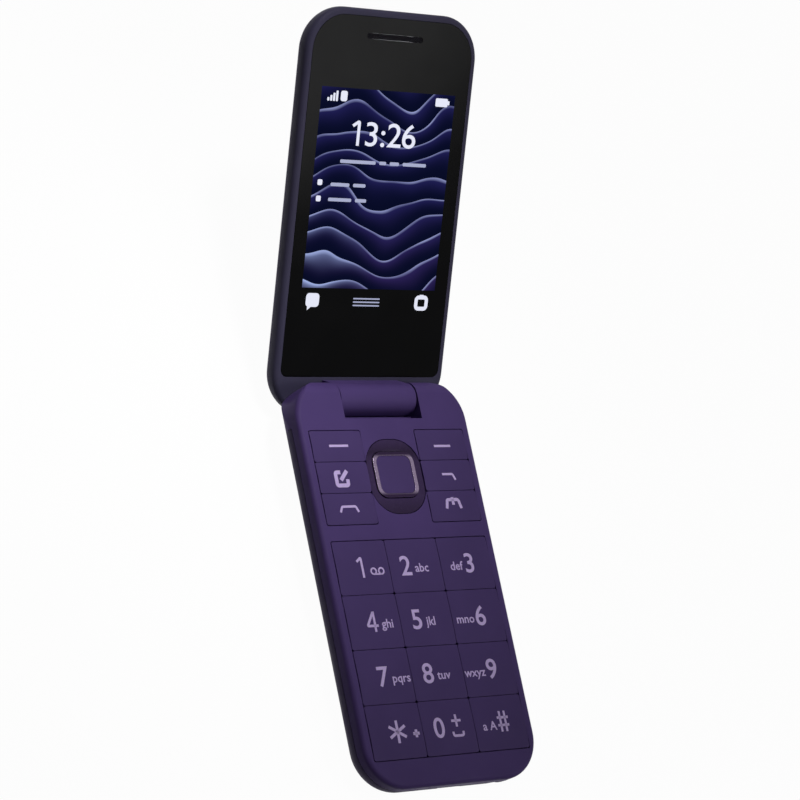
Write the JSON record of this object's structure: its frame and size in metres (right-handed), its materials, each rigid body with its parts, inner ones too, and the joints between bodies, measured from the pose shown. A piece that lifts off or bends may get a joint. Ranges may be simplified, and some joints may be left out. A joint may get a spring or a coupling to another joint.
{
  "type": "flip phone",
  "caption": "Open clamshell phone with a keypad base, a framed glass screen lid and a rear window, joined by an inset barrel hinge.",
  "frame": {"origin": "centre of the base's flat back, below the middle of the keypad half", "axes": "+X along the hinge axis to the user's right, +Y from the user's end towards the hinge, +Z out of the keypad deck"},
  "size_m": [0.0555, 0.1957, 0.0556],
  "materials": {
    "purple_shell": "satin metallic purple",
    "dark_shell": "satin dark purple",
    "frame_plastic": "satin grey purple",
    "key_plastic": "satin purple",
    "bezel_metal": "polished, purple tint",
    "nav_plastic": "polished dark purple",
    "glass": "polished black glass",
    "display": "lit navy picture",
    "steel": "plain",
    "circuit_board": "solder mask",
    "rubber": "matte",
    "battery_pack": "film wrapped",
    "contact_brass": "plain",
    "black_plastic": "moulded",
    "dome_film": "film",
    "cable_film": "film",
    "mesh_steel": "woven",
    "flash_lens": "clear"
  },
  "bodies": {
    "base": {"base_front_housing": "purple_shell", "base_rear_housing": "dark_shell", "battery_cover": "dark_shell", "battery": "battery_pack", "battery_contacts": "contact_brass", "main_board": "circuit_board", "board_shields": "steel", "dome_sheet": "dome_film", "key_mat": "rubber", "loudspeaker": "black_plastic", "vibration_motor": "steel", "microphone": "steel", "usb_port": "steel", "headset_jack": "black_plastic", "antenna": "contact_brass", "base_screws": "steel", "hinge_shaft": "steel", "hinge_bush": "steel"},
    "lid": {"lid_front_frame": "frame_plastic", "lid_back_cover": "dark_shell", "lid_knuckle": "purple_shell", "hinge_cartridge": "steel", "hinge_flex": "cable_film", "main_window": "glass", "main_display": "display", "outer_window": "glass", "outer_display": "display", "earpiece": "steel", "earpiece_mesh": "mesh_steel", "camera_module": "black_plastic", "flash_led": "flash_lens", "lid_board": "circuit_board", "lid_screws": "steel", "closing_magnet": "steel"},
    "key_1": {"key_1": "key_plastic"},
    "key_2": {"key_2": "key_plastic"},
    "key_3": {"key_3": "key_plastic"},
    "key_4": {"key_4": "key_plastic"},
    "key_5": {"key_5": "key_plastic"},
    "key_6": {"key_6": "key_plastic"},
    "key_7": {"key_7": "key_plastic"},
    "key_8": {"key_8": "key_plastic"},
    "key_9": {"key_9": "key_plastic"},
    "key_star": {"key_star": "key_plastic"},
    "key_0": {"key_0": "key_plastic"},
    "key_hash": {"key_hash": "key_plastic"},
    "soft_key_left": {"soft_key_left": "key_plastic"},
    "menu_key": {"menu_key": "key_plastic"},
    "call_key": {"call_key": "key_plastic"},
    "soft_key_right": {"soft_key_right": "key_plastic"},
    "back_key": {"back_key": "key_plastic"},
    "end_key": {"end_key": "key_plastic"},
    "select_key": {"select_key": "key_plastic", "select_bezel": "bezel_metal"},
    "nav_pad": {"nav_pad": "rubber"},
    "nav_ring": {"nav_ring": "nav_plastic"},
    "volume_rocker": {"volume_rocker": "dark_shell"},
    "vibration_weight": {"vibration_weight": "steel"}
  },
  "joints": [
    {"name": "lid_hinge", "type": "hinge", "parent": "base", "child": "lid", "pos_m": [0, 0.04945, 0.00565], "axis": [1, 0, 0], "range_deg": [0, 151]},
    {"name": "key_1_press", "type": "slide", "parent": "base", "child": "key_1", "axis": [0, 0, 1], "range_m": [-0.00035, 0], "stiffness_N_per_m": 400},
    {"name": "key_2_press", "type": "slide", "parent": "base", "child": "key_2", "axis": [0, 0, 1], "range_m": [-0.00035, 0], "stiffness_N_per_m": 400},
    {"name": "key_3_press", "type": "slide", "parent": "base", "child": "key_3", "axis": [0, 0, 1], "range_m": [-0.00035, 0], "stiffness_N_per_m": 400},
    {"name": "key_4_press", "type": "slide", "parent": "base", "child": "key_4", "axis": [0, 0, 1], "range_m": [-0.00035, 0], "stiffness_N_per_m": 400},
    {"name": "key_5_press", "type": "slide", "parent": "base", "child": "key_5", "axis": [0, 0, 1], "range_m": [-0.00035, 0], "stiffness_N_per_m": 400},
    {"name": "key_6_press", "type": "slide", "parent": "base", "child": "key_6", "axis": [0, 0, 1], "range_m": [-0.00035, 0], "stiffness_N_per_m": 400},
    {"name": "key_7_press", "type": "slide", "parent": "base", "child": "key_7", "axis": [0, 0, 1], "range_m": [-0.00035, 0], "stiffness_N_per_m": 400},
    {"name": "key_8_press", "type": "slide", "parent": "base", "child": "key_8", "axis": [0, 0, 1], "range_m": [-0.00035, 0], "stiffness_N_per_m": 400},
    {"name": "key_9_press", "type": "slide", "parent": "base", "child": "key_9", "axis": [0, 0, 1], "range_m": [-0.00035, 0], "stiffness_N_per_m": 400},
    {"name": "key_star_press", "type": "slide", "parent": "base", "child": "key_star", "axis": [0, 0, 1], "range_m": [-0.00035, 0], "stiffness_N_per_m": 400},
    {"name": "key_0_press", "type": "slide", "parent": "base", "child": "key_0", "axis": [0, 0, 1], "range_m": [-0.00035, 0], "stiffness_N_per_m": 400},
    {"name": "key_hash_press", "type": "slide", "parent": "base", "child": "key_hash", "axis": [0, 0, 1], "range_m": [-0.00035, 0], "stiffness_N_per_m": 400},
    {"name": "soft_key_left_press", "type": "slide", "parent": "base", "child": "soft_key_left", "axis": [0, 0, 1], "range_m": [-0.00035, 0], "stiffness_N_per_m": 400},
    {"name": "menu_key_press", "type": "slide", "parent": "base", "child": "menu_key", "axis": [0, 0, 1], "range_m": [-0.00035, 0], "stiffness_N_per_m": 400},
    {"name": "call_key_press", "type": "slide", "parent": "base", "child": "call_key", "axis": [0, 0, 1], "range_m": [-0.00035, 0], "stiffness_N_per_m": 400},
    {"name": "soft_key_right_press", "type": "slide", "parent": "base", "child": "soft_key_right", "axis": [0, 0, 1], "range_m": [-0.00035, 0], "stiffness_N_per_m": 400},
    {"name": "back_key_press", "type": "slide", "parent": "base", "child": "back_key", "axis": [0, 0, 1], "range_m": [-0.00035, 0], "stiffness_N_per_m": 400},
    {"name": "end_key_press", "type": "slide", "parent": "base", "child": "end_key", "axis": [0, 0, 1], "range_m": [-0.00035, 0], "stiffness_N_per_m": 400},
    {"name": "select_key_press", "type": "slide", "parent": "base", "child": "select_key", "axis": [0, 0, 1], "range_m": [-0.00035, 0], "stiffness_N_per_m": 400},
    {"name": "nav_left_right", "type": "hinge", "parent": "base", "child": "nav_pad", "pos_m": [0, 0.02705, 0.0081], "axis": [0, 1, 0], "range_deg": [-1.4, 1.4], "stiffness_Nm_per_rad": 0.3},
    {"name": "nav_up_down", "type": "hinge", "parent": "nav_pad", "child": "nav_ring", "pos_m": [0, 0.02705, 0.0081], "axis": [1, 0, 0], "range_deg": [-1.4, 1.4], "stiffness_Nm_per_rad": 0.3},
    {"name": "volume_rock", "type": "hinge", "parent": "base", "child": "volume_rocker", "pos_m": [0.0266, 0.024, 0.00777], "axis": [0, 0, 1], "range_deg": [-1.2, 1.2], "stiffness_Nm_per_rad": 0.2},
    {"name": "vibration_spin", "type": "hinge", "parent": "base", "child": "vibration_weight", "pos_m": [-0.0115, 0.0167, 0.00355], "axis": [1, 0, 0], "continuous": true}
  ]
}
